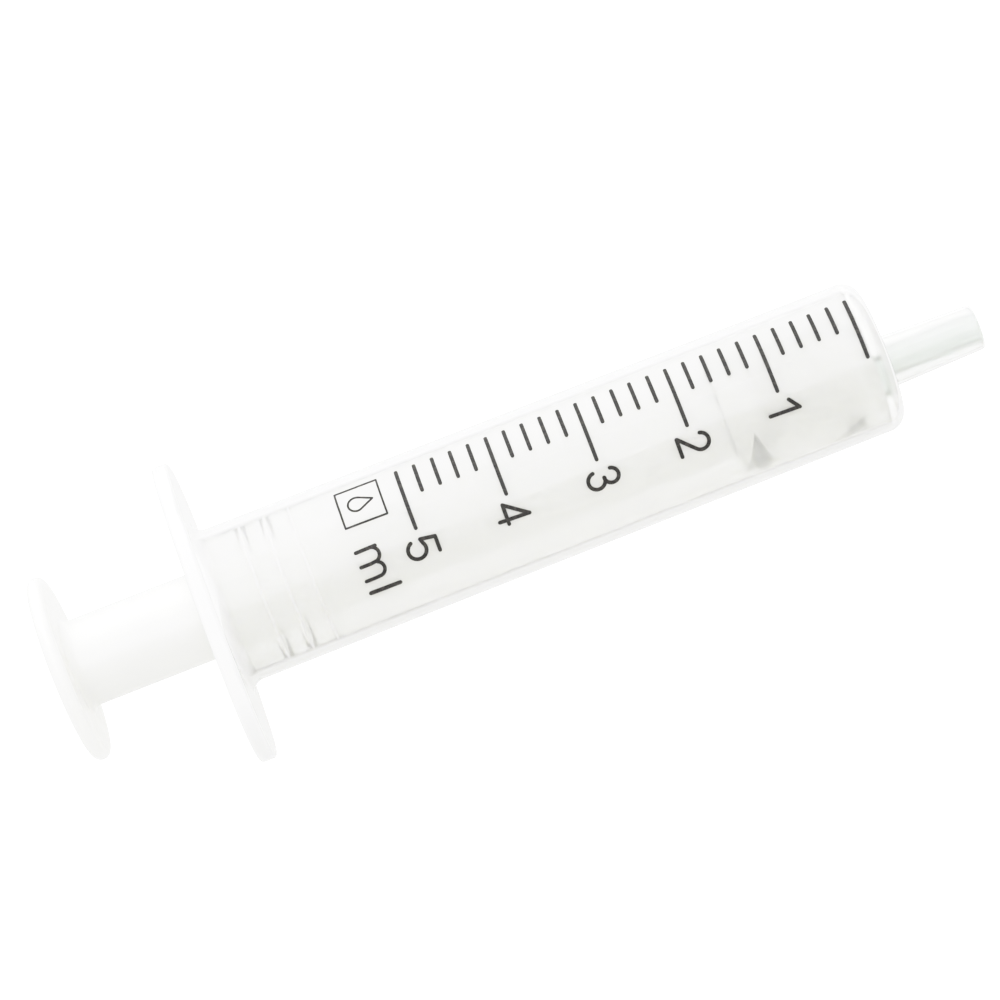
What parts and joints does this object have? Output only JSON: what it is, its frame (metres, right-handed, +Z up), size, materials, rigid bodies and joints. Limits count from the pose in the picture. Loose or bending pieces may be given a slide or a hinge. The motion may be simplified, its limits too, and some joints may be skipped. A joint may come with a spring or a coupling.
{
  "type": "oral syringe",
  "caption": "Oral syringe for liquid medicine: a translucent graduated barrel with finger flange and off-centre tapered nozzle, and a sliding tubular plunger with thumb rest and lipped piston.",
  "frame": {"origin": "middle of the whole object in X and Y, at its lowest point in Z (the bottom of the thumb rest)", "axes": "+X along the barrel towards the nozzle, +Z up through the middle of the printed scale, finger ears along +Y and -Y, nozzle off centre towards -Z"},
  "size_m": [0.0874, 0.0286, 0.0173],
  "materials": {
    "barrel_plastic": "translucent natural polypropylene, smooth moulded gloss",
    "plunger_plastic": "milky natural polyethylene, soft satin gloss",
    "piston_plastic": "milky natural polyethylene, smooth",
    "scale_ink": "dark brown-black printed ink"
  },
  "bodies": {
    "barrel": {"barrel": "barrel_plastic", "printed_scale": "scale_ink"},
    "plunger": {"plunger_rod": "plunger_plastic", "piston": "piston_plastic"}
  },
  "joints": [
    {"name": "plunger_slide", "type": "slide", "parent": "barrel", "child": "plunger", "axis": [1, 0, 0], "range_m": [-0.0418, 0.00145]}
  ]
}
